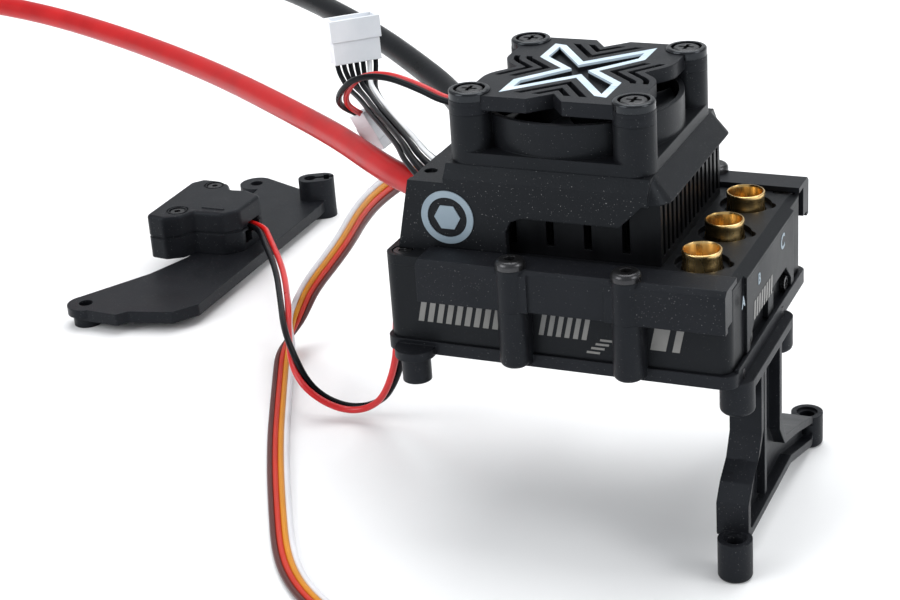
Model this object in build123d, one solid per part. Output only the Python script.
from build123d import *
import math
import os

# Electronic speed controller for a large radio-controlled car, with its cooling
# fan, its tray and leg bracket, its leads and its switch on a mounting plate.
# Frame: millimetres, +Z up. The origin is midway between the two feet of the leg
# bracket, on their undersides. +X points to the motor-socket end, +Y to the back.

# ---------------------------------------------------------------- leg and tray
foot_spacing = 55.0
foot_radius = 3.3
foot_hole_radius = 1.6
front_foot_height = 8.2
rear_foot_height = 7.2
leg_height = 38.2
leg_middle_x = -1.1
leg_width = 6.2
leg_flange = 1.6
leg_web = 1.7
column_front = -15.8
column_back = -0.9
sleeve_radius = 3.3
sleeve_length = 7.0
sleeve_ys = (-20.4, 7.2)
leg_plate_thickness = 1.8
tray_floor = 2.6
tray_overhang = 1.0
ear_radius = 4.0
ear_setback = 5.9
ear_hole_radius = 1.25
post_radius = 2.85
post_length = 5.2

# ---------------------------------------------------------------- case
case_length = 68.0
case_width = 51.6
case_height = 17.2
case_wall = 1.8
case_floor = 1.6
case_corner = 2.5
lid_thickness = 2.0
end_chamfer = 2.6
end_panel_width = 34.0
end_panel_proud = 0.7
notch_width = 30.0
notch_height = 6.2
corner_screw_inset = 2.9
corner_screw_radius = 0.9
corner_head_radius = 1.8

# ---------------------------------------------------------------- motor sockets
socket_pitch = 14.86
socket_bore_radius = 3.25
socket_wall = 0.5
socket_depth = 9.6
socket_floor = 1.6
socket_proud = 2.7
socket_from_end = 8.3
socket_gap = 0.25
pocket_radius = 5.1
pocket_depth = 1.2

# ---------------------------------------------------------------- clamps
clamp_width = 7.57
clamp_top = 1.1
clamp_skirt_drop = 7.1
clamp_skirt = 1.5
clamp_inset_left = 8.6
clamp_inset_right = -0.4
clamp_screw_xs = (-41.9, -19.5)
column_radius = 2.9
column_rise = 1.0
clamp_screw_radius = 1.5
clamp_screw_length = 14.0
clamp_head_radius = 2.85
clamp_head_height = 1.75

# ---------------------------------------------------------------- cover and sink
cover_width = 44.0
cover_wall = 1.6
cover_roof = 1.6
cover_height = 17.3
cover_step = 3.3
cover_flare = 3.5
cover_flare_drop = 4.4
compartment = 7.0
window_height = 8.2
window_left = -45.0
fan_opening_radius = 18.2
sink_width = 38.0
sink_base = 1.6
fin_height = 10.8
fin_count = 15
fin_thickness = 1.25
fin_slot = 1.5
fin_pitch = 7.45
sink_end_setback = 14.7
sink_left = -56.0
pedestal_length = 34.0
pedestal_width = 30.0
fit = 0.3

# ---------------------------------------------------------------- fan
fan_size = 40.0
fan_height = 9.4
fan_centre_x = -37.1
fan_hole_pitch = 32.0
fan_corner = 4.0
fan_base = 2.4
fan_ring_radius = 19.6
fan_bore_radius = 18.6
fan_post_radius = 4.0
fan_floor = 1.4
hub_radius = 9.6
hub_height = 6.6
hub_wall = 1.0
blade_radius = 18.0
blade_count = 7
blade_thickness = 0.9
shaft_radius = 1.0
shaft_clearance = 0.03
bearing_radius = 2.4
stator_radius = 7.6
guard_thickness = 2.8
guard_lift = 0.9
boss_height = 2.6
guard_reach = 6.4
guard_half = 18.4
cup_radius = 3.95
cup_height = 4.3
cup_bore_radius = 3.0
fan_screw_radius = 1.5
fan_head_radius = 2.6
inlay_depth = 0.5
inlay_width = 1.5
inlay_outline = [
    (10.3, 15.6), (10.3, 8.0), (3.8, -0.1), (10.3, -6.0), (10.3, -14.7), (7.8, -14.1), (1.0, -4.8),
    (-10.3, -15.6), (-10.3, -8.0), (-3.8, 0.1), (-10.3, 6.0), (-10.3, 14.7), (-7.8, 14.1), (-1.0, 4.8),
]
badge_radius = 5.3
badge_ring = 1.3

# ---------------------------------------------------------------- switch on its plate
plate_thickness = 3.0
plate_top = 5.3
plate_hole_radius = 1.75
plate_ear_radius = 4.7
plate_boss_radius = 3.5
front_ear = (-186.0, 40.0)
back_ear = (-183.2, 125.6)
clip_post = (-162.2, 119.0)
clip_height = 11.2
box_height = 11.7
box_wall = 1.5
box_corner = 1.8
box_edge = 1.0
seam_groove = 0.35
box_screws = ((-178.6, 75.6), (-178.0, 94.6))
switch_travel = 2.0
knob_size = 3.0

# ---------------------------------------------------------------- leads
power_lead_diameter = 5.5
receiver_lead_diameter = 3.2
switch_wire_diameter = 1.5
fan_wire_diameter = 1.3
sensor_wire_diameter = 1.1
sensor_pitch = 1.5

red_lead_points = [
    (-58.8, -12.0, 64.6), (-73.2, -4.0, 64.3), (-87.0, 9.6, 62.4), (-103.6, 27.0, 60.2),
    (-127.0, 47.6, 57.9), (-154.5, 69.2, 56.3), (-180.0, 86.0, 55.5), (-205.0, 99.8, 55.3),
    (-231.0, 110.6, 55.9), (-252.5, 116.2, 56.6), (-266.0, 119.0, 56.6),
]
black_lead_points = [
    (-58.8, 8.0, 64.6), (-73.6, 20.8, 65.2), (-83.6, 39.6, 66.2), (-97.0, 57.2, 67.1),
    (-114.5, 73.4, 68.0), (-131.0, 87.6, 68.2), (-147.5, 101.6, 67.8), (-161.5, 113.0, 66.9),
    (-170.5, 120.5, 66.0),
]
receiver_lead_points = [
    (-60.6, 4.0, 60.8), (-70.2, 6.8, 61.6), (-79.4, 11.8, 60.4), (-90.3, 17.0, 52.1),
    (-99.0, 24.5, 43.5), (-107.5, 33.7, 33.6), (-113.2, 37.3, 26.9), (-122.8, 43.0, 16.3),
    (-125.6, 42.9, 11.7), (-127.2, 40.6, 7.2), (-127.5, 36.8, 3.6), (-126.3, 32.0, 1.7),
    (-122.2, 23.0, 1.6), (-117.2, 12.4, 1.6), (-109.8, -3.1, 1.6), (-101.8, -18.4, 1.6),
    (-93.7, -33.0, 1.6), (-86.3, -45.8, 1.6), (-79.7, -54.2, 1.6), (-71.9, -61.0, 1.6),
    (-62.4, -66.8, 1.6), (-53.0, -71.0, 1.6),
]
switch_lead_points = [
    (-169.2, 87.1, 10.4), (-160.4, 86.0, 10.6), (-153.1, 76.0, 11.0), (-139.4, 57.1, 12.6),
    (-126.6, 35.4, 14.4), (-117.9, 19.6, 14.6), (-112.6, 12.0, 11.8), (-108.8, 9.5, 7.8),
    (-104.4, 9.5, 4.4), (-99.2, 10.5, 2.4), (-93.5, 10.7, 3.6), (-88.4, 9.4, 8.1),
    (-83.2, 6.8, 19.0), (-80.8, 3.0, 30.5), (-77.0, -1.2, 39.0), (-67.6, -3.0, 43.4),
]
fan_lead_points = [
    (-57.1, 3.0, 78.6), (-65.4, 3.0, 78.6), (-73.6, 5.2, 81.0), (-81.8, 7.4, 82.2),
    (-89.2, 9.6, 80.4), (-94.2, 12.8, 76.0), (-97.2, 17.4, 71.8), (-97.6, 21.8, 68.6),
    (-96.7, 25.6, 66.2),
]
sensor_lead_points = [
    (-63.6, -11.4, 69.8), (-69.0, -7.0, 70.8), (-74.4, 0.5, 70.9), (-81.1, 9.0, 70.5),
    (-89.2, 19.0, 70.2), (-96.3, 29.0, 69.5), (-101.2, 35.8, 68.8), (-103.4, 38.9, 69.6),
    (-104.7, 40.6, 72.2), (-105.0, 41.0, 75.4),
]
sensor_spreads = (1.15, 0.9, 0.7, 0.66, 0.66, 0.7, 0.9, 1.2, 1.5, 1.5)
sensor_lifts = (0.25, 0.45, 0.56, 0.58, 0.58, 0.56, 0.45, 0.2, 0.0, 0.0)
sensor_plug_foot = (-105.0, 41.0, 73.2)
fan_plug_top = (-96.8, 25.0, 67.2)

# ---------------------------------------------------------------- places worked out
tray_bottom = leg_height
case_bottom = tray_bottom + tray_floor
case_right = -tray_overhang
case_left = case_right - case_length
case_middle = (case_right + case_left) / 2
half_case = case_width / 2
deck = case_bottom + case_height
lid_bottom = deck - lid_thickness
cover_top = deck + cover_height
fan_top = cover_top + fan_height
cup_top = fan_top + cup_height
cavity_bottom = case_bottom + case_floor
board_bottom = cavity_bottom + 2.2
board_top = board_bottom + 1.6
chip_top = board_top + 1.2
pad_top = chip_top + 1.0
clamp_screw_y = half_case + 2.3
clamp_face = half_case - 3.3 + clamp_width
seam_z = plate_top + box_height / 2
socket_x = case_right - socket_from_end


# ---------------------------------------------------------------- small shapes
def block(x0, x1, y0, y1, z0, z1):
    middle = ((x0 + x1) / 2, (y0 + y1) / 2, (z0 + z1) / 2)
    return Pos(*middle) * Box(x1 - x0, y1 - y0, z1 - z0)


def rod(x, y, z0, z1, radius):
    return Pos(x, y, (z0 + z1) / 2) * Cylinder(radius, z1 - z0)


def rod_x(x0, x1, y, z, radius):
    return Pos((x0 + x1) / 2, y, z) * Rot(0, 90, 0) * Cylinder(radius, x1 - x0)


def prism(plane, outline, start, length):
    """A straight-sided solid: the outline drawn on the plane, moved out and pushed along it."""
    face = make_face(Polyline(*outline, close=True))
    return extrude(plane.offset(start) * face, length)


def over_xy(outline, z0, z1):
    return prism(Plane.XY, outline, z0, z1 - z0)


def over_xz(outline, y0, y1):
    return prism(Plane.XZ, outline, -y1, y1 - y0)


def over_yz(outline, x0, x1):
    return prism(Plane.YZ, outline, x0, x1 - x0)


def rounded(solid, radius, direction=Axis.Z):
    """The solid with its edges along one direction rounded."""
    return fillet(solid.edges().filter_by(direction), radius)


def joined(pieces):
    whole = pieces[0]
    for piece in pieces[1:]:
        whole = whole + piece
    return whole


def cut(solid, tools):
    for tool in tools:
        solid = solid - tool
    return solid


def write(name, shape):
    export_step(shape, "parts/" + name + ".step")


def group(solids):
    return Compound(children=list(solids))


# ---------------------------------------------------------------- leads
def corner_radii(points):
    """The radius at each corner: 0.45 of the shorter run over the tangent of half the turn."""
    radii = []
    for before, here, after in zip(points, points[1:], points[2:]):
        come = Vector(*here) - Vector(*before)
        go = Vector(*after) - Vector(*here)
        turn = math.radians(come.get_angle(go))
        radii.append(0.45 * min(come.length, go.length) / math.tan(turn / 2))
    return radii


def lead(name, points, diameter):
    """A round tube along straight runs joined by tangent arcs, with its radii printed."""
    radii = corner_radii(points)
    path = FilletPolyline(*points, radius=radii)
    section = Plane(origin=path @ 0, z_dir=path % 0) * Circle(diameter / 2)
    tube = sweep(section, path=path)
    due = math.pi * diameter**2 / 4 * path.length
    tight = min(radii) / diameter
    print(f"{name}: {path.length:.1f} mm, least radius {min(radii):.1f} mm = {tight:.1f} diameters,")
    print(f"   radii {[round(r) for r in radii]}, volume over section x length {tube.volume / due:.4f}")
    return tube


def passage(points, radius, length):
    """A straight round hole along a lead's first run."""
    start = Vector(*points[0])
    way = (Vector(*points[1]) - start).normalized()
    return extrude(Plane(origin=start - way * 5, z_dir=way) * Circle(radius), length + 5)


def beside(points, gap):
    """The same route moved sideways: each point goes level, square to the line through its neighbours."""
    moved = []
    for i, point in enumerate(points):
        before = points[max(i - 1, 0)]
        after = points[min(i + 1, len(points) - 1)]
        dx = after[0] - before[0]
        dy = after[1] - before[1]
        level = math.hypot(dx, dy)
        moved.append((point[0] - dy / level * gap, point[1] + dx / level * gap, point[2]))
    return moved


# ---------------------------------------------------------------- leg bracket
def leg_outline(inset):
    """The bracket's side view between column, feet and arch, pulled in by the flange's thickness."""
    front_y = -foot_spacing / 2 + 2.2
    back_y = foot_spacing / 2 - 3.2
    return [
        (column_front + inset, leg_height - inset),
        (column_back - inset, leg_height - inset),
        (column_back - inset, 19.6 - inset * 0.6),
        (2.2 - inset * 0.4, 15.0 - inset),
        (10.5, 12.6 - inset),
        (back_y, 8.0 - inset),
        (back_y, 1.2 + inset),
        (6.0 + inset * 0.3, 6.6 + inset),
        (front_y + inset, 6.6 + inset),
        (front_y + inset, 14.0 + inset * 0.3),
        (front_y + 2.6 + inset, 17.2 + inset * 0.6),
        (column_front - 2.6 + inset, 20.0 + inset * 0.6),
        (column_front + inset, 24.4 + inset * 0.2),
    ]


def leg_bracket():
    half_width = leg_width / 2
    frame = rounded(
        over_yz(leg_outline(0), leg_middle_x - half_width, leg_middle_x + half_width), 1.2, Axis.X)
    for side in (-1, 1):
        inner = leg_middle_x + side * leg_web / 2
        outer = leg_middle_x + side * (half_width + 1)
        frame -= rounded(
            over_yz(leg_outline(leg_flange), min(inner, outer), max(inner, outer)), 0.9, Axis.X)
    rib_x = leg_middle_x + half_width - 0.6
    frame += block(leg_middle_x, rib_x, -11.4, -10.0, 9.0, leg_height - 1)
    plate = rounded(
        block(leg_middle_x - half_width, leg_middle_x + half_width, sleeve_ys[0], sleeve_ys[1],
              leg_height - leg_plate_thickness, leg_height), 1.0, Axis.Z)
    frame += plate
    for y in sleeve_ys:
        sleeve = rod(case_right - 0.3, y, leg_height - sleeve_length, leg_height, sleeve_radius)
        frame += fillet(sleeve.edges().sort_by(Axis.Z)[0], 1.0)
    for y, height in ((-foot_spacing / 2, front_foot_height), (foot_spacing / 2, rear_foot_height)):
        foot = rod(0, y, 0, height, foot_radius)
        frame += fillet(foot.edges().sort_by(Axis.Z)[0], 0.8)
    for y, height in ((-foot_spacing / 2, front_foot_height), (foot_spacing / 2, rear_foot_height)):
        frame -= rod(0, y, -1, height + 20, foot_hole_radius)
        frame -= rod(0, y, height - 0.6, height + 0.1, foot_hole_radius + 0.6)
    for y in sleeve_ys:
        frame -= rod(case_right - 0.3, y, leg_height - sleeve_length - 1, leg_height + 1, 1.5)
        frame -= rod(case_right - 0.3, y, leg_height - sleeve_length - 1, leg_height - 4.0, 2.4)
    return frame


def leg_screws():
    screws = []
    for y in sleeve_ys:
        x = case_right - 0.3
        head = rod(x, y, leg_height - 6.0, leg_height - 4.0, 2.2)
        shank = rod(x, y, leg_height - 4.0, leg_height + 2.0, 1.45)
        screws.append(head + shank - rod(x, y, leg_height - 6.1, leg_height - 5.0, 1.0))
    return group(screws)


# ---------------------------------------------------------------- tray
def screw_column(x, side):
    """One half-round column on the tray's edge, with its foot rounded."""
    y = side * clamp_screw_y
    inner = side * half_case
    foot = tray_bottom + column_rise
    stem = rod(x, y, foot, deck - clamp_skirt_drop, column_radius)
    web = block(x - column_radius, x + column_radius, min(inner, y), max(inner, y),
                foot, deck - clamp_skirt_drop)
    return fillet(stem.edges().sort_by(Axis.Z)[0], 1.2) + web


def base_tray():
    left = case_left - 0.6
    half = half_case + 0.6
    floor = rounded(block(left, 0, -half, half, tray_bottom, case_bottom), case_corner)
    tray = floor
    ear_x = case_left + ear_setback
    for side in (-1, 1):
        for x in clamp_screw_xs:
            tray += screw_column(x, side)
        tray += rod(ear_x, side * 27.0, tray_bottom, case_bottom - 0.9, ear_radius)
        tray += rod(ear_x, side * 27.0, tray_bottom - post_length, tray_bottom, post_radius)
    lip = block(-0.7, 0, -half + 2.5, half - 2.5, case_bottom, case_bottom + 0.5)
    tray += lip
    room = block(case_left, case_right, -half_case, half_case, case_bottom, deck)
    tray -= room
    for side in (-1, 1):
        for x in clamp_screw_xs:
            tray -= rod(x, side * clamp_screw_y, deck - clamp_screw_length, deck, clamp_screw_radius)
        tray -= rod(ear_x, side * 27.0, tray_bottom - post_length - 1, case_bottom - 1.6, ear_hole_radius)
    for y in sleeve_ys:
        tray -= rod(case_right - 0.3, y, tray_bottom - 1, tray_bottom + 2.0, 1.45)
    for x in (-58.0, -44.0, -30.0, -16.0):
        tray -= rounded(block(x - 4, x + 4, -9, 9, tray_bottom - 1, tray_bottom + 0.8), 1.5)
    return tray


# ---------------------------------------------------------------- case
def corner_places():
    inset = corner_screw_inset
    for x in (case_left + inset, case_right - inset):
        for y in (-half_case + inset, half_case - inset):
            yield x, y


def lower_case():
    outside = rounded(
        block(case_left, case_right, -half_case, half_case, case_bottom, lid_bottom), case_corner)
    panel = block(case_right, case_right + end_panel_proud, -end_panel_width / 2, end_panel_width / 2,
                  case_bottom + 0.6, lid_bottom)
    hollow = rounded(
        block(case_left + case_wall, case_right - case_wall - 0.8, -half_case + case_wall,
              half_case - case_wall, cavity_bottom, lid_bottom + 1), 1.0)
    case = outside + panel - hollow
    for x, y in corner_places():
        case += rod(x, y, case_bottom, lid_bottom, 2.6) & outside
    for x in (case_left + 12, case_right - 14):
        for side in (-1, 1):
            case += rod(x, side * 19, cavity_bottom, board_bottom, 1.6)
    for x, y in corner_places():
        case -= rod(x, y, lid_bottom - 7, lid_bottom + 1, corner_screw_radius)
    arch = over_yz(
        [(-notch_width / 2, case_bottom - 1), (notch_width / 2, case_bottom - 1),
         (notch_width / 2, case_bottom + 2.4), (notch_width / 2 - 4, case_bottom + notch_height),
         (-notch_width / 2 + 4, case_bottom + notch_height), (-notch_width / 2, case_bottom + 2.4)],
        case_right - 0.9, case_right + 2)
    case -= arch
    case += block(case_right - 1.0, case_right + 0.2, -0.4, 3.4, case_bottom + 0.3, case_bottom + 4.6)
    for y in (-13.1, 13.1):
        case -= rod_x(case_right - 2.6, case_right, y, case_bottom + 1.9, 0.9)
    return case


def end_screws():
    screws = []
    for y in (-13.1, 13.1):
        z = case_bottom + 1.9
        shank = rod_x(case_right - 2.6, case_right - 0.9, y, z, 0.9)
        head = rod_x(case_right - 0.9, case_right + 0.2, y, z, 1.5)
        screws.append(head + shank - rod_x(case_right - 0.4, case_right + 1, y, z, 0.8))
    return group(screws)


def socket_places():
    return [(socket_x, side * socket_pitch) for side in (-1, 0, 1)]


def case_lid():
    lid = rounded(
        block(case_left, case_right, -half_case, half_case, lid_bottom, deck), case_corner)
    lid = lid + block(case_right, case_right + end_panel_proud, -end_panel_width / 2,
                      end_panel_width / 2, lid_bottom, deck)
    slope = over_xz(
        [(case_right - end_chamfer + 1.2, deck + 0.01), (case_right + 3, deck + 0.01),
         (case_right + 3, lid_bottom - 1), (case_right + end_panel_proud + 0.01, lid_bottom + 0.5)],
        -half_case, half_case)
    lid -= slope
    middle = (sink_left + case_right - sink_end_setback) / 2
    lid -= block(middle - pedestal_length / 2 - fit, middle + pedestal_length / 2 + fit,
                 -pedestal_width / 2 - fit, pedestal_width / 2 + fit, lid_bottom - 1, deck + 1)
    outer = socket_bore_radius + socket_wall + socket_gap
    for x, y in socket_places():
        lid -= rod(x, y, lid_bottom - 1, deck + 1, outer)
        lid -= rod(x, y, deck - pocket_depth, deck + 1, pocket_radius)
        lid -= rod(x + 4.3, y, deck - pocket_depth, deck + 1, 1.7)
    for x, y in corner_places():
        lid -= rod(x, y, lid_bottom - 1, deck + 1, corner_screw_radius + 0.2)
        lid -= rod(x, y, deck - 0.9, deck + 1, corner_head_radius + 0.25)
    lid -= rounded(block(case_left + 4.0, sink_left - 1.2, -12, 14, lid_bottom - 1, deck + 1), 1.5)
    return lid


def case_screws():
    screws = []
    for x, y in corner_places():
        head = rod(x, y, deck - 0.9, deck - 0.1, corner_head_radius)
        shank = rod(x, y, lid_bottom - 6, deck - 0.9, corner_screw_radius)
        screws.append(head + shank - rod(x, y, deck - 0.5, deck + 1, 0.8))
    return group(screws)


def bullet_sockets():
    sockets = []
    for x, y in socket_places():
        top = deck + socket_proud
        outer = rod(x, y, top - socket_depth - socket_floor, top, socket_bore_radius + socket_wall)
        bore = rod(x, y, top - socket_depth, top + 1, socket_bore_radius)
        tail = rod(x, y, board_top, top - socket_depth - socket_floor, 1.6)
        sockets.append(outer - bore + tail)
    return group(sockets)


# ---------------------------------------------------------------- electronics
def power_board():
    board = rounded(
        block(case_left + 3.4, case_right - 4.4, -20.0, 20.0, board_bottom, board_top), 1.5)
    return board


def mosfets():
    middle = (sink_left + case_right - sink_end_setback) / 2
    chips = []
    for column in range(6):
        for row in range(4):
            x = middle + (column - 2.5) * 5.6
            y = (row - 1.5) * 7.2
            chips.append(block(x - 2.4, x + 2.4, y - 3.0, y + 3.0, board_top, chip_top))
    return group(chips)


def thermal_pad():
    middle = (sink_left + case_right - sink_end_setback) / 2
    return block(middle - pedestal_length / 2, middle + pedestal_length / 2,
                 -pedestal_width / 2, pedestal_width / 2, chip_top, pad_top)


def capacitors():
    cans = []
    radius = 4.0
    for y in (-11.0, 0.0, 11.0):
        can = Pos(case_left + 9.0, y, board_top + radius) * Rot(90, 0, 0) * Cylinder(radius, 10.0)
        cans.append(can)
    return group(cans)


def control_board():
    x0 = socket_x - socket_bore_radius - socket_wall - 1.4
    board = block(x0 - 1.2, x0, -18, 18, board_top, board_top + 8.0)
    for y in (-12, -4, 4, 12):
        board += block(x0, x0 + 1.0, y - 2, y + 2, board_top + 2, board_top + 6)
    return board


# ---------------------------------------------------------------- heat sink
def heat_sink():
    right = case_right - sink_end_setback
    middle = (sink_left + right) / 2
    half = sink_width / 2
    base_top = deck + sink_base
    sink = block(sink_left, right, -half, half, deck, base_top)
    sink += block(middle - pedestal_length / 2, middle + pedestal_length / 2,
                  -pedestal_width / 2, pedestal_width / 2, pad_top, deck)
    step = (sink_width - fin_thickness) / (fin_count - 1)
    for i in range(fin_count):
        y = -half + i * step
        sink += block(sink_left, right, y, y + fin_thickness, base_top, base_top + fin_height)
    x = right - fin_pitch + fin_slot
    while x > sink_left + 3:
        sink -= block(x - fin_slot, x, -half - 1, half + 1, base_top + 0.4, base_top + fin_height + 1)
        x -= fin_pitch
    return sink


# ---------------------------------------------------------------- upper cover
def cover_section(inset):
    """The cover's section across its length: level roof, two short flares, upright walls."""
    half = cover_width / 2 - inset
    roof = fan_size / 2 - inset * 0.6
    top = cover_top - inset
    shoulder = cover_top - 2.4 - inset * 0.4
    return [(-half, deck), (-half, shoulder), (-roof, top), (roof, top), (half, shoulder), (half, deck)]


def flare_end(inset):
    """The hip at the fan's socket end: the roof's rounded rectangle spread to a larger one below."""
    roof = Rectangle(fan_size - inset * 2, fan_size - inset * 2)
    skirt = Rectangle(fan_size + cover_flare * 2 - inset * 2, cover_width - inset * 2)
    roof = fillet(roof.vertices(), 2.2)
    skirt = fillet(skirt.vertices(), 4.2)
    top = Pos(fan_centre_x, 0, cover_top - inset) * roof
    foot = Pos(fan_centre_x, 0, cover_top - cover_flare_drop - inset * 0.01) * skirt
    if inset:
        foot = Pos(0, 0, -0.6) * foot
    hip = loft([top, foot])
    return hip & block(fan_centre_x + fan_size / 2 - 5, fan_centre_x + 40, -30, 30,
                       cover_top - 10, cover_top)


def lead_exits():
    """Where each power lead leaves the cover's end wall, and its first direction."""
    for points in (red_lead_points, black_lead_points):
        yield Vector(*points[0]), (Vector(*points[1]) - Vector(*points[0])).normalized()


def upper_cover():
    fan_left = fan_centre_x - fan_size / 2
    fan_right = fan_centre_x + fan_size / 2
    left = fan_left - compartment - 3.4
    body = over_yz(cover_section(0), left, fan_right)
    body -= over_yz([(y, z - 0.01) for y, z in cover_section(cover_wall)],
                    left + 3.4 + cover_wall, fan_right + 1)
    low_roof = cover_top - cover_step
    body -= block(left - 1, fan_left, -30, 30, low_roof, cover_top + 1)
    body += block(left + 3.4, fan_left + cover_wall, -cover_width / 2 + 0.4, cover_width / 2 - 0.4,
                  low_roof - cover_roof, low_roof)
    body -= over_xz([(left - 1, deck - 1), (left - 1, low_roof + 1), (left + 3.3, low_roof + 1),
                     (left, deck - 1)], -30, 30)
    end_wall = left + 3.4 + cover_wall
    body -= block(left - 1, left + 3.4, -cover_width / 2 + cover_wall, cover_width / 2 - cover_wall,
                  deck - 1, low_roof + 1)
    body += flare_end(0) - flare_end(cover_wall) - block(
        left, fan_right - cover_wall, -30, 30, cover_top - 10, cover_top - cover_wall)
    window = [
        (window_left, deck - 1), (window_left, deck + window_height - 3.0),
        (window_left + 1.0, deck + window_height - 0.9), (window_left + 3.2, deck + window_height),
        (fan_right - 5.6, deck + window_height), (fan_right - 1.2, deck + window_height + 4.4),
        (fan_right + 1, deck + window_height + 4.4), (fan_right + 1, deck - 1),
    ]
    body -= over_xz(window, -30, 30)
    body -= rod(fan_centre_x, 0, cover_top - 6, cover_top + 1, fan_opening_radius)
    half_pitch = fan_hole_pitch / 2
    for x in (fan_centre_x - half_pitch, fan_centre_x + half_pitch):
        for y in (-half_pitch, half_pitch):
            body -= rod(x, y, cover_top - 8, cover_top + 1, fan_screw_radius)
    for points in (red_lead_points, black_lead_points):
        body -= passage(points, power_lead_diameter / 2 + 1.0, 16)
    body -= passage(receiver_lead_points, receiver_lead_diameter / 2 + 0.4, 9)
    gland = sensor_gland_box()
    body -= block(end_wall - 5, end_wall + 1, gland[0], gland[1], gland[2], gland[3])
    body -= rod(left + 5.6, -16.4, low_roof - cover_roof - 1, low_roof + 1, 1.3)
    return body


def lead_grommets():
    """A flanged rubber sleeve round each power lead where it passes the end wall."""
    end_outer = fan_centre_x - fan_size / 2 - compartment
    grommets = []
    for place, way in lead_exits():
        reach = (end_outer - place.X) / way.X
        plane = Plane(origin=place + way * (reach - 4.2), z_dir=way)
        sleeve = extrude(plane * Circle(power_lead_diameter / 2 + 1.0), 6.0)
        sleeve -= extrude(plane.offset(-1) * Circle(power_lead_diameter / 2), 9.0)
        grommets.append(sleeve)
    return group(grommets)


def sensor_gland_box():
    """The sensor gland's span: y from and to, z from and to."""
    y = sensor_lead_points[0][1] + 0.6
    z = sensor_lead_points[0][2] + 0.1
    return y - 5.0, y + 5.8, z - 1.2, z + 1.4


def sensor_gland():
    y0, y1, z0, z1 = sensor_gland_box()
    return rounded(block(-65.0, -61.9, y0, y1, z0, z1), 0.4, Axis.X)


def side_badge():
    """A plain round badge on each side of the cover: a ring round a hexagon."""
    badges = []
    for side in (-1, 1):
        centre = (-56.6, side * (cover_width / 2), deck + 7.2)
        plane = Plane(origin=centre, z_dir=(0, side, 0), x_dir=(1, 0, 0))
        ring = extrude(plane * (Circle(badge_radius) - Circle(badge_radius - badge_ring)), 0.25)
        badges.append(ring)
        badges.append(extrude(plane * RegularPolygon(badge_radius / 2, 6), 0.25))
    return group(badges)


# ---------------------------------------------------------------- fan
def fan_posts():
    half_pitch = fan_hole_pitch / 2
    return [(fan_centre_x + i * half_pitch, j * half_pitch) for i in (-1, 1) for j in (-1, 1)]


def fan_frame():
    half = fan_size / 2
    flange = rounded(
        block(fan_centre_x - half, fan_centre_x + half, -half, half, cover_top, cover_top + fan_base),
        fan_corner)
    frame = flange + rod(fan_centre_x, 0, cover_top, fan_top - 0.6, fan_ring_radius)
    for x, y in fan_posts():
        frame += rod(x, y, cover_top, fan_top, fan_post_radius)
    frame -= rod(fan_centre_x, 0, cover_top - 1, fan_top + 1, fan_bore_radius)
    for x, y in fan_posts():
        frame -= rod(x, y, cover_top - 1, fan_top + 1, fan_screw_radius + 0.1)
    frame += rod(fan_centre_x, 0, cover_top, cover_top + fan_floor, hub_radius)
    for turn in (20, 110, 200, 290):
        strut = Pos(fan_centre_x, 0, cover_top + fan_floor / 2) * Rot(0, 0, turn) * Pos(
            (hub_radius + fan_bore_radius) / 2, 0, 0) * Box(
                fan_bore_radius - hub_radius + 2, 2.0, fan_floor)
        frame += strut
    frame += rod(fan_centre_x, 0, cover_top + fan_floor, cover_top + 5.8, bearing_radius + 0.7)
    frame -= rod(fan_centre_x, 0, cover_top + 0.6, cover_top + 7, bearing_radius)
    wire_x, wire_y, wire_z = fan_lead_points[0]
    frame += block(wire_x, wire_x + 1.4, wire_y - 1.9, wire_y + 1.9, wire_z - 1.2, wire_z + 1.0)
    return frame


def fan_bearings():
    bearings = []
    for z0, z1 in ((cover_top + 0.6, cover_top + 2.6), (cover_top + 3.8, cover_top + 5.8)):
        ring = rod(fan_centre_x, 0, z0, z1, bearing_radius)
        bearings.append(ring - rod(fan_centre_x, 0, z0 - 1, z1 + 1, shaft_radius + shaft_clearance))
    return group(bearings)


def fan_stator():
    z0 = cover_top + fan_floor
    z1 = z0 + 3.8
    core = rod(fan_centre_x, 0, z0, z1, 5.0)
    for turn in (0, 90, 180, 270):
        arm = Pos(fan_centre_x, 0, (z0 + z1) / 2) * Rot(0, 0, turn) * Pos(stator_radius / 2, 0, 0)
        core += arm * Box(stator_radius, 4.0, z1 - z0)
    return core - rod(fan_centre_x, 0, z0 - 1, z1 + 1, bearing_radius + 0.7)


def fan_rotor():
    top = fan_top - 0.9
    hub = rod(fan_centre_x, 0, top - hub_height, top, hub_radius)
    hub = fillet(hub.edges().sort_by(Axis.Z)[-1], 0.8)
    hub -= rod(fan_centre_x, 0, top - hub_height - 1, top - hub_wall, hub_radius - hub_wall)
    blade_low = top - hub_height
    blade_rise = hub_height - 1.2
    for i in range(blade_count):
        turn = 360 / blade_count * i
        reach = blade_radius - hub_radius + 0.6
        slab = Pos(hub_radius - 0.6 + reach / 2, 0, 0) * Rot(38, 0, 0) * Box(
            reach, blade_thickness, blade_rise + 2.4)
        blade = Pos(fan_centre_x, 0, blade_low + 0.6 + blade_rise / 2) * Rot(0, 0, turn) * slab
        hub += blade
    keep = rod(fan_centre_x, 0, blade_low, top, blade_radius)
    rotor = hub & keep
    rotor -= rod(fan_centre_x, 0, blade_low - 1, top - hub_wall, hub_radius - hub_wall)
    return rotor


def fan_shaft():
    top = fan_top - 0.9 - hub_wall
    return rod(fan_centre_x, 0, cover_top + 0.9, top, shaft_radius)


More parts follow.
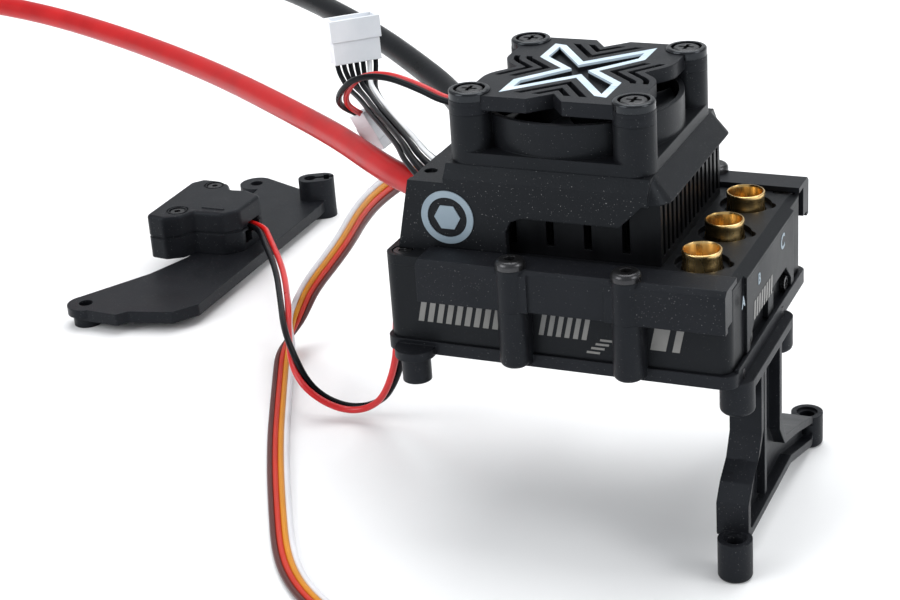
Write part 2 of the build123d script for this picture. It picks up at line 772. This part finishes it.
# ---------------------------------------------------------------- fan guard
def cross_face(spread):
    """The cross's outline on the fan's middle, grown or shrunk all round."""
    face = Pos(fan_centre_x, 0, 0) * make_face(Polyline(*inlay_outline, close=True))
    if spread:
        face = offset(face, amount=spread, kind=Kind.ARC if spread > 0 else Kind.INTERSECTION)
    return face


def cross_prism(spread, z0, z1):
    return extrude(Pos(0, 0, z0) * cross_face(spread), z1 - z0)


def guard_z():
    bottom = fan_top + guard_lift
    return bottom, bottom + guard_thickness


def fan_guard():
    z0, z1 = guard_z()
    square = block(fan_centre_x - guard_half, fan_centre_x + guard_half, -guard_half, guard_half,
                   z0 - 2, z1 + 2)
    plate = cross_prism(guard_reach, z0, z1) & square
    keep = block(fan_centre_x - 9.0, fan_centre_x + 9.0, -15.2, 15.2, z0 - 2, z1 + 2)
    keep += block(fan_centre_x - 25, fan_centre_x + 25, -6.0, 6.0, z0 - 2, z1 + 2)
    for inner, outer in ((1.5, 2.7), (4.0, 5.1)):
        slot = cross_prism(outer, z0 - 1, z1 + 1) - cross_prism(inner, z0 - 1.5, z1 + 1.5)
        plate -= slot & keep
    plate -= inlay_solid(inlay_depth)
    plate -= cross_prism(-inlay_width, z1 - 1.4, z1 + 1)
    boss_top = fan_top + boss_height
    for x, y in fan_posts():
        plate += rod(x, y, fan_top, boss_top, fan_post_radius)
    for x, y in fan_posts():
        plate -= rod(x, y, fan_top - 1, z1 + 1, fan_screw_radius + 0.1)
        plate -= rod(x, y, boss_top - 0.9, z1 + 1, cup_radius)
    return plate


def inlay_solid(depth):
    """A bright outline of the cross, sunk in the top."""
    z1 = guard_z()[1]
    return cross_prism(0, z1 - depth, z1) - cross_prism(-inlay_width, z1 - depth - 1, z1 + 1)


def guard_cups():
    z1 = fan_top + boss_height
    cups = []
    for x, y in fan_posts():
        cup = rod(x, y, z1 - 0.9, cup_top, cup_radius)
        cup = fillet(cup.edges().sort_by(Axis.Z)[-1], 0.5)
        cup -= rod(x, y, z1 + 0.2, cup_top + 1, cup_bore_radius)
        cup -= rod(x, y, z1 - 2, cup_top + 1, fan_screw_radius + 0.1)
        cups.append(cup)
    return group(cups)


def fan_screws():
    z1 = fan_top + boss_height
    screws = []
    for x, y in fan_posts():
        head = rod(x, y, z1 + 0.2, z1 + 1.6, fan_head_radius)
        head = fillet(head.edges().sort_by(Axis.Z)[-1], 0.5)
        shank = rod(x, y, cover_top - cover_roof, z1 + 0.2, fan_screw_radius)
        cross = block(x - 1.5, x + 1.5, y - 0.35, y + 0.35, z1 + 0.9, z1 + 3)
        cross += block(x - 0.35, x + 0.35, y - 1.5, y + 1.5, z1 + 0.9, z1 + 3)
        screws.append(head + shank - cross)
    return group(screws)


# ---------------------------------------------------------------- clamps
def side_clamp(side):
    """An L-shaped rail over one long side of the case, with a bump at each screw."""
    left = case_left + clamp_inset_left
    right = case_right - clamp_inset_right
    inner = side * (clamp_face - clamp_width)
    outer = side * clamp_face
    top = deck + clamp_top
    rail = block(left, right, min(inner, outer), max(inner, outer), deck, top)
    wall = side * (clamp_face - clamp_skirt)
    rail += block(left, right, min(wall, outer), max(wall, outer), deck - clamp_skirt_drop, top)
    rail -= over_yz([(outer + side, top + 1), (outer - side * 1.2, top + 1), (outer - side * 1.2, top),
                     (outer, top - 0.9), (outer + side, top - 0.9)], left - 1, right + 1)
    middle_left = clamp_screw_xs[0] + column_radius + 0.8
    middle_right = clamp_screw_xs[1] - column_radius - 0.8
    back = side * (clamp_face - 0.45)
    rail -= block(middle_left, middle_right, min(back, outer), max(back, outer + side), deck - 20, top + 1)
    y = side * clamp_screw_y
    for x in clamp_screw_xs:
        edge = side * half_case
        rail += rod(x, y, deck - clamp_skirt_drop, top, column_radius)
        rail += block(x - column_radius, x + column_radius, min(edge, y), max(edge, y),
                      deck - clamp_skirt_drop, top)
    for x in clamp_screw_xs:
        rail -= rod(x, y, deck - clamp_skirt_drop - 1, top + 1, clamp_screw_radius + 0.1)
    rail -= block(case_left, case_right, -half_case, half_case, case_bottom, deck)
    for x in (left + 1.0, right - 1.0):
        rail += block(x - 1.0, x + 1.0, min(wall, side * half_case), max(wall, side * half_case),
                      deck - clamp_skirt_drop + 1.0, top)
    return rail


def clamp_screws():
    screws = []
    top = deck + clamp_top
    for side in (-1, 1):
        for x in clamp_screw_xs:
            y = side * clamp_screw_y
            head = rod(x, y, top, top + clamp_head_height, clamp_head_radius)
            head = fillet(head.edges().sort_by(Axis.Z)[-1], 1.1)
            shank = rod(x, y, top - clamp_screw_length + 0.5, top, clamp_screw_radius)
            socket = extrude(Plane(origin=(x, y, top + 0.6)) * RegularPolygon(1.15, 6), 3)
            screws.append(head + shank - socket)
    return group(screws)


# ---------------------------------------------------------------- switch plate
def switch_plate():
    right = -157.4
    outline = [
        (-187.6, 36.4), (-174.6, 35.6), (-172.6, 38.2), (-161.6, 40.6), (right, 46.6),
        (right, 114.0), (clip_post[0] + 3.8, 122.6), (-168.6, 124.4), (-181.6, 130.0),
        (-179.6, 112.0), (-175.4, 100.0), (-175.4, 72.6), (-179.6, 60.4), (-189.6, 43.0),
    ]
    plate = over_xy(outline, plate_top - plate_thickness, plate_top)
    plate = rounded(plate, 0.8)
    for x, y in (front_ear, back_ear):
        plate += rod(x, y, plate_top - plate_thickness + 0.8, plate_top, plate_ear_radius)
        plate += rod(x, y, 0, plate_top - plate_thickness + 0.8, plate_boss_radius)
    x, y = clip_post
    plate += rod(x, y, 0, clip_height, 3.3)
    hook = rod(x + 2.9, y + 1.6, 0, clip_height, 3.3)
    plate += hook
    neck = Pos(x + 1.45, y + 0.8, clip_height / 2) * Rot(0, 0, 28.9) * Box(3.31, 6.6, clip_height)
    plate += neck
    slot = Pos(x + 4.0, y + 2.0, clip_height / 2 + 1.4) * Rot(0, 0, 28) * Box(1.5, 3.6, clip_height)
    slot += Pos(x + 5.4, y + 2.9, clip_height / 2 + 1.4) * Rot(0, 0, 28) * Box(3.4, 1.3, clip_height)
    slot += Pos(x + 2.0, y + 1.1, clip_height / 2 + 1.4) * Rot(0, 0, 28) * Box(3.0, 1.3, clip_height)
    plate -= slot
    for x, y in (front_ear, back_ear):
        plate -= rod(x, y, -1, plate_top + 1, plate_hole_radius)
    x, y = clip_post
    plate -= rod(x, y, -1, clip_height + 1, 1.7)
    plate -= rounded(block(right - 14, right - 1.8, 50, 66, -1, plate_top - plate_thickness + 1.2), 1.0)
    return plate


# ---------------------------------------------------------------- switch box
def box_outline(inset):
    return [
        (-185.4 + inset, 70.6 + inset), (-180.0, 69.9 + inset), (-176.2 - inset, 72.2 + inset * 0.6),
        (-174.6 - inset * 0.3, 75.8 + inset), (-166.0, 76.4 + inset), (-162.6 - inset, 80.0 + inset * 0.4),
        (-162.2 - inset, 91.0 - inset * 0.6), (-167.6, 93.4 - inset), (-172.2, 92.8 - inset),
        (-174.8 - inset, 96.4 - inset), (-178.0, 97.9 - inset), (-183.2, 98.1 - inset),
        (-185.6 + inset, 95.0 - inset * 0.6),
    ]


def box_shell(z0, z1, cavity0, cavity1):
    shell = rounded(over_xy(box_outline(0), z0, z1), box_corner)
    rim = over_xy(box_outline(-2), seam_z - seam_groove, seam_z + seam_groove)
    core = rounded(over_xy(box_outline(seam_groove), seam_z - 2, seam_z + 2), box_corner)
    shell -= rim - core
    shell -= over_xy(
        [(-182.0, 79.6), (-175.6, 79.6), (-164.0, 79.6), (-164.0, 90.4), (-182.0, 90.4)],
        cavity0, cavity1)
    x, y, z = switch_lead_points[0]
    shell -= block(-165.0, -160.0, y - 3.6, y + 1.8, max(z0 - 1, z - 1.4), min(z1 + 1, z + 1.6))
    knob_z = seam_z
    shell -= block(-187.0, -181.0, 85.0 - 3.0, 85.0 + 3.0 + switch_travel, knob_z - 1.6, knob_z + 1.6)
    return shell


def switch_box_base():
    base = box_shell(plate_top, seam_z, plate_top + box_wall, seam_z + 1)
    base -= block(-164.6, -161.0, 81.6, 84.6, plate_top + 1.6, seam_z - 1.0)
    for x, y in box_screws:
        base -= rod(x, y, plate_top + 1.2, seam_z + 1, 0.9)
    return base


def switch_box_lid():
    top = plate_top + box_height
    lid = box_shell(seam_z, top, seam_z - 1, top - box_wall)
    lid = fillet(lid.faces().sort_by(Axis.Z)[-1].outer_wire().edges(), box_edge)
    for x, y in box_screws:
        lid -= rod(x, y, seam_z - 1, top + 1, 1.1)
        lid -= rod(x, y, top - 1.4, top + 1, 2.2)
        lid -= rod(x, y, top - 0.4, top + 1, 2.9) - rod(x, y, top - 1, top + 2, 2.5)
    lid += block(-173.0, -166.6, 78.6, 79.2, top - 0.1, top + 0.25)
    return lid


def switch_screws():
    top = plate_top + box_height
    screws = []
    for x, y in box_screws:
        head = rod(x, y, top - 1.4, top - 0.2, 1.9)
        shank = rod(x, y, plate_top + 1.2, top - 1.4, 0.9)
        screws.append(head + shank - rod(x, y, top - 0.8, top + 1, 0.8))
    return group(screws)


def switch_body():
    """The slide switch inside the box, open on the side its knob comes out of."""
    z0 = plate_top + box_wall
    z1 = plate_top + box_height - box_wall
    body = block(-180.6, -168.0, 79.8, 90.2, z0, z1)
    body -= block(-182.0, -176.4, 85.0 - 2.6, 85.0 + 2.6 + switch_travel, seam_z - 1.4, seam_z + 1.4)
    return body


def switch_slider():
    half = knob_size / 2
    slider = block(-187.4, -176.6, 85.0 - half, 85.0 + half, seam_z - 1.2, seam_z + 1.2)
    for offset in (-0.8, 0, 0.8):
        slider -= block(-187.6, -187.1, 85.0 + offset - 0.15, 85.0 + offset + 0.15, seam_z - 2, seam_z + 2)
    return slider


# ---------------------------------------------------------------- plugs and tips
def receiver_plug():
    """A flat four-way servo plug on the end of the receiver lead."""
    end = Vector(*receiver_lead_points[-1])
    way = (end - Vector(*receiver_lead_points[-2])).normalized()
    plane = Plane(origin=end, z_dir=way, x_dir=(-way.Y, way.X, 0))
    shell = extrude(plane * Rectangle(10.2, 2.8), 14.0)
    for i in range(4):
        contact = plane.offset(9.0) * Pos((i - 1.5) * 2.54, 0, 0) * Rectangle(1.2, 1.2)
        shell -= extrude(contact, 6.0)
    return shell


def sensor_plane():
    end = Vector(*sensor_plug_foot)
    way = Vector(-0.06, 0.06, 1.0).normalized()
    across = Vector(0.743, 0.669, 0.0)
    across = (across - way * across.dot(way)).normalized()
    return Plane(origin=end, z_dir=way, x_dir=across)


def sensor_plug():
    """A white seven-way socket housing, wider at its mating end."""
    plane = sensor_plane()
    shell = extrude(plane * Rectangle(10.6, 4.8), 5.0)
    shell += extrude(plane.offset(5.0) * Rectangle(11.4, 5.6), 4.8)
    shell -= extrude(plane.offset(6.6) * Rectangle(9.6, 3.6), 4.0)
    return shell


def fan_plug():
    """A white two-way housing on the end of the fan lead."""
    end = Vector(*fan_plug_top)
    way = Vector(4.4, 1.0, -9.1).normalized()
    across = Vector(0.81, -0.36, 0.35)
    across = (across - way * across.dot(way)).normalized()
    plane = Plane(origin=end, z_dir=way, x_dir=across)
    shell = extrude(plane * Rectangle(5.0, 3.0), 9.0)
    shell += extrude(plane.offset(3.0) * Rectangle(5.4, 3.1), 3.6)
    shell -= extrude(plane.offset(5.6) * Rectangle(4.0, 1.9), 4.0)
    return shell


def lead_tips():
    """The tinned ends of the two power leads."""
    tips = []
    for points in (red_lead_points, black_lead_points):
        end = Vector(*points[-1])
        way = (end - Vector(*points[-2])).normalized()
        tips.append(extrude(Plane(origin=end, z_dir=way) * Circle(1.8), 7.0))
    return group(tips)


def sensor_wires():
    """Seven wires bunched in two rows, which spread into one row where they enter the plug."""
    across = sensor_plane().x_dir
    last = len(sensor_lead_points) - 4
    routes = []
    for i in range(7):
        place = i - 3
        row = 1 if i % 2 else -1
        route = []
        for k, (x, y, z) in enumerate(sensor_lead_points):
            shift = place * sensor_spreads[k]
            side = beside(sensor_lead_points, -shift)[k]
            if k > last:
                side = (x + across.X * shift, y + across.Y * shift, z)
            route.append((side[0], side[1], z + row * sensor_lifts[k]))
        routes.append(route)
    return routes


# ---------------------------------------------------------------- write every node
def main():
    os.makedirs("parts", exist_ok=True)
    leads = {
        "red_power_lead": lead("red_power_lead", red_lead_points, power_lead_diameter),
        "black_power_lead": lead("black_power_lead", black_lead_points, power_lead_diameter),
        "receiver_lead": lead("receiver_lead", receiver_lead_points, receiver_lead_diameter),
    }
    for colour, side in (("red", 1), ("black", -1)):
        name = "switch_wire_" + colour
        leads[name] = lead(name, beside(switch_lead_points, side * 0.9), switch_wire_diameter)
        name = "fan_wire_" + colour
        leads[name] = lead(name, beside(fan_lead_points, side * 0.8), fan_wire_diameter)
    for i, route in enumerate(sensor_wires()):
        name = f"sensor_wire_{i + 1}"
        leads[name] = lead(name, route, sensor_wire_diameter)
    sensors = [leads[f"sensor_wire_{i + 1}"] for i in range(7)]
    switch_pair = [leads["switch_wire_red"], leads["switch_wire_black"]]
    fan_pair = [leads["fan_wire_red"], leads["fan_wire_black"]]
    shapes = {
        "leg_bracket": leg_bracket(), "leg_screws": leg_screws(), "base_tray": base_tray(),
        "lower_case": cut(lower_case(), switch_pair), "case_lid": case_lid(),
        "case_screws": case_screws(), "end_screws": end_screws(),
        "bullet_sockets": bullet_sockets(), "power_board": power_board(), "mosfets": mosfets(),
        "thermal_pad": thermal_pad(), "capacitors": capacitors(),
        "control_board": control_board(), "heat_sink": heat_sink(),
        "upper_cover": upper_cover(), "side_badges": side_badge(),
        "lead_grommets": lead_grommets(), "sensor_gland": cut(sensor_gland(), sensors),
        "fan_frame": fan_frame(), "fan_bearings": fan_bearings(), "fan_stator": fan_stator(),
        "fan_rotor": fan_rotor(), "fan_shaft": fan_shaft(), "fan_guard": fan_guard(),
        "guard_inlay": inlay_solid(inlay_depth), "guard_cups": guard_cups(),
        "fan_screws": fan_screws(), "front_clamp": side_clamp(-1), "rear_clamp": side_clamp(1),
        "clamp_screws": clamp_screws(), "switch_plate": switch_plate(),
        "switch_box_base": switch_box_base(), "switch_box_lid": switch_box_lid(),
        "switch_screws": switch_screws(), "switch_body": cut(switch_body(), switch_pair),
        "switch_slider": switch_slider(), "receiver_plug": receiver_plug(),
        "sensor_plug": cut(sensor_plug(), sensors), "fan_plug": cut(fan_plug(), fan_pair),
        "lead_tips": lead_tips(),
    }
    shapes.update(leads)
    for name, shape in shapes.items():
        write(name, shape)


main()
